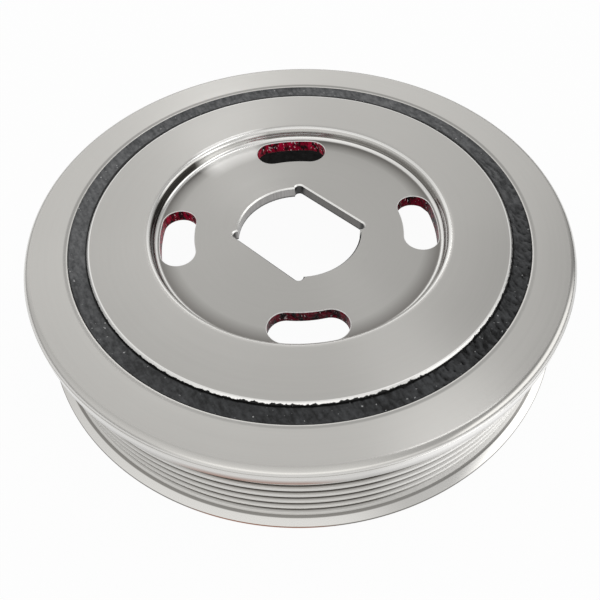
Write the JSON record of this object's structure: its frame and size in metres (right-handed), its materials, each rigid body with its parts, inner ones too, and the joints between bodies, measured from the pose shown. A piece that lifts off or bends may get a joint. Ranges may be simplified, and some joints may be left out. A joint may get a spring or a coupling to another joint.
{
  "type": "harmonic balancer",
  "caption": "Crankshaft harmonic balancer: cast hub with recessed face, curved slots and double-D hole, rubber ring, grooved outer ring with belt flanges.",
  "frame": {"origin": "centre of the inertia ring's rear face, on the crankshaft axis", "axes": "+Z along the crankshaft axis towards the front face; X and Y through the middles of the four slots"},
  "size_m": [0.157, 0.157, 0.031],
  "materials": {
    "ring_iron": "machined bare metal, fine concentric turning marks, satin",
    "damper_rubber": "matt black, rough torn flash on the front face",
    "hub_iron": "front machined to a satin grey; slot walls in dark red paint, the rear as cast in black"
  },
  "bodies": {
    "root": {"inertia_ring": "ring_iron", "rubber_ring": "damper_rubber", "hub": "hub_iron"}
  },
  "joints": []
}
